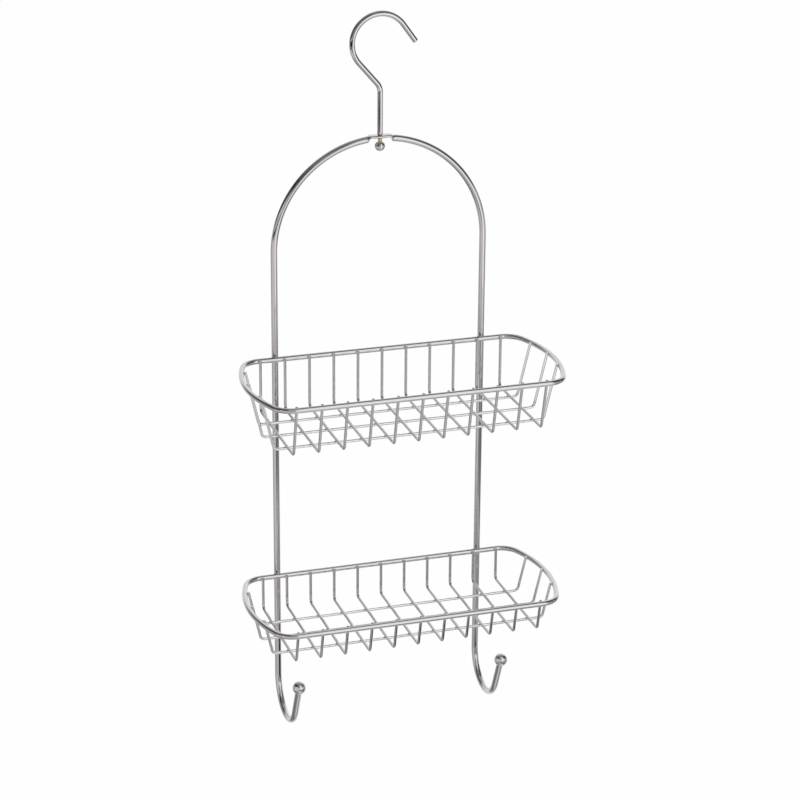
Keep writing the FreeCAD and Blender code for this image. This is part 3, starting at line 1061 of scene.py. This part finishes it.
def light_tent(centre):
    """A tent round the caddy whose sheets, flags and softbox are what the chrome reflects."""
    material, graph = new_material("light_tent")
    place = graph.node("ShaderNodeTexCoord").out("Object")
    x, y, z = graph.split(graph.vector_maths("SUBTRACT", place, tuple(centre)))
    to_degrees = 180.0 / math.pi
    azimuth = x.arctan2(0.0 - y) * to_degrees
    elevation = (z / TENT_RADIUS).arcsine() * to_degrees
    tone = (*TENT_CLOTH, 1.0)
    for panel in TENT_PANELS:
        cover = panel_cover(azimuth, elevation, panel)
        tone = graph.mixed(tone, (*panel.tone, 1.0), cover, panel.name)
    graph.surface(graph.glow(tone))
    shell = bmesh.new()
    bmesh.ops.create_uvsphere(shell, radius=TENT_RADIUS, **TENT_FACES)
    bmesh.ops.translate(shell, vec=centre, verts=shell.verts)
    mesh = bpy.data.meshes.new("light_tent")
    shell.to_mesh(mesh)
    shell.free()
    gloss_only("light_tent", mesh, material)


def reflection_card(card):
    """One card, which only gloss shows, with faded edges."""
    start, end = (math.radians(a) for a in card.azimuths)
    turns = [start + (end - start) * n / CARD_STEPS for n in range(CARD_STEPS + 1)]
    flat = [(math.sin(t) * card.radius, -math.cos(t) * card.radius) for t in turns]
    vertices = [(x, y, height) for height in card.heights for x, y in flat]
    row = len(flat)
    faces = [(n, n + 1, n + 1 + row, n + row) for n in range(CARD_STEPS)]
    mesh = new_mesh(card.name, vertices, faces)
    layer = mesh.uv_layers.new(name="UVMap")
    for loop in mesh.loops:
        high, along = divmod(loop.vertex_index, row)
        layer.data[loop.index].uv = (along / CARD_STEPS, high)
    material, graph = new_material(card.name)
    u, v, _ = graph.split(graph.node("ShaderNodeTexCoord").out("UV"))
    across, up = ((s.least(1.0 - s) / edge).eased() for s, edge in zip((u, v), card.edges))
    clear = graph.node("ShaderNodeBsdfTransparent")
    shade = graph.glow((card.tone, card.tone, card.tone, 1.0))
    graph.surface(graph.layered(across * up, clear, shade))
    gloss_only(card.name, mesh, material)


class CADDY_OT_studio(bpy.types.Operator):
    """Sets up the floor, soft light, reflection cards and camera"""

    bl_idname = "caddy.studio"
    bl_label = "Build Studio"

    def execute(self, context):
        studio = context.scene.caddy_studio
        low, high = CAD_BOX
        centre = (low + high) / 2
        self.add_floor(studio, low.z - studio.floor_below)
        self.add_world(context.scene, studio)
        self.add_lamps(studio, centre)
        light_tent(centre)
        for card in CARDS:
            reflection_card(card)
        self.add_camera(context.scene, studio)
        context.scene.view_settings.view_transform = "Standard"
        return {"FINISHED"}

    @staticmethod
    def add_floor(studio, z):
        half = FLOOR_HALF
        corners = [(-half, -half, z), (half, -half, z), (half, half, z), (-half, half, z)]
        mesh = new_mesh("studio_floor", corners, [(0, 1, 2, 3)])
        material, graph = new_material("studio_floor")
        matt = graph.node("ShaderNodeBsdfDiffuse", {"Color": (*studio.floor, 1.0)})
        backdrop = seen_directly(graph) * studio.floor_seen
        graph.surface(graph.layered(backdrop, matt, graph.glow(WHITE)))
        mesh.materials.append(material)
        linked("studio_floor", mesh)

    @staticmethod
    def add_world(scene, studio):
        world = bpy.data.worlds.new("studio_world")
        world.use_nodes = True
        scene.world = world
        graph = Graph(world.node_tree)
        strength = studio.ambient + (1.0 - studio.ambient) * seen_directly(graph)
        inputs = {"Color": WHITE, "Strength": strength}
        background = graph.node("ShaderNodeBackground", inputs)
        graph.node("ShaderNodeOutputWorld", {"Surface": background})

    @staticmethod
    def add_lamps(studio, centre):
        for name, azimuth, elevation in LAMPS:
            lamp = bpy.data.lights.new(name, "AREA")
            lamp.shape = "RECTANGLE"
            lamp.size, lamp.size_y = LAMP_SIZE
            lamp.energy = studio.lamp_power
            angles = math.radians(azimuth), math.radians(elevation)
            place = spherical(centre, *angles, LAMP_DISTANCE)
            linked(name, lamp).matrix_world = facing(place, centre)

    @staticmethod
    def add_camera(scene, studio):
        data = bpy.data.cameras.new("studio_camera")
        data.sensor_width = SENSOR_WIDTH
        data.lens = studio.focal_length
        data.clip_start, data.clip_end = CLIP_DISTANCES
        aim = Vector((studio.aim_across, 0, -studio.aim_down))
        place = spherical(aim, studio.azimuth, studio.elevation, studio.distance)
        camera = linked("studio_camera", data)
        camera.matrix_world = facing(place, aim) @ Matrix.Rotation(studio.roll, 4, "Z")
        scene.camera = camera


# Panel and registration

OPERATORS = (
    CADDY_OT_bend_frame,
    CADDY_OT_tip_balls,
    CADDY_OT_hanging_hook,
    CADDY_OT_basket_rims,
    CADDY_OT_basket_wires,
    CADDY_OT_weld_joints,
    CADDY_OT_studio,
)


class CADDY_PT_sidebar(bpy.types.Panel):
    """Lists the caddy's pieces in the order they are made"""

    bl_idname = "CADDY_PT_sidebar"
    bl_label = "Shower Caddy"
    bl_space_type = "VIEW_3D"
    bl_region_type = "UI"
    bl_category = "Caddy"

    def draw(self, context):
        for operator in OPERATORS:
            self.layout.operator(operator.bl_idname)
        for group in PROPERTIES:
            box = self.layout.box()
            settings = getattr(context.scene, group)
            for name in settings.__annotations__:
                box.prop(settings, name)


PROPERTIES = {
    "caddy_rods": CaddyRods,
    "caddy_baskets": CaddyBaskets,
    "caddy_chrome": CaddyChrome,
    "caddy_studio": CaddyStudio,
}
CLASSES = (*PROPERTIES.values(), *OPERATORS, CADDY_PT_sidebar)


def register():
    for cls in CLASSES:
        bpy.utils.register_class(cls)
    for name, group in PROPERTIES.items():
        setattr(bpy.types.Scene, name, PointerProperty(type=group))


def unregister():
    for name in PROPERTIES:
        delattr(bpy.types.Scene, name)
    for cls in reversed(CLASSES):
        bpy.utils.unregister_class(cls)


def main():
    register()
    bpy.ops.caddy.bend_frame()
    bpy.ops.caddy.tip_balls()
    bpy.ops.caddy.hanging_hook()
    bpy.ops.caddy.basket_rims()
    bpy.ops.caddy.basket_wires()
    bpy.ops.caddy.weld_joints()
    bpy.ops.caddy.studio()


if __name__ == "__main__":
    main()
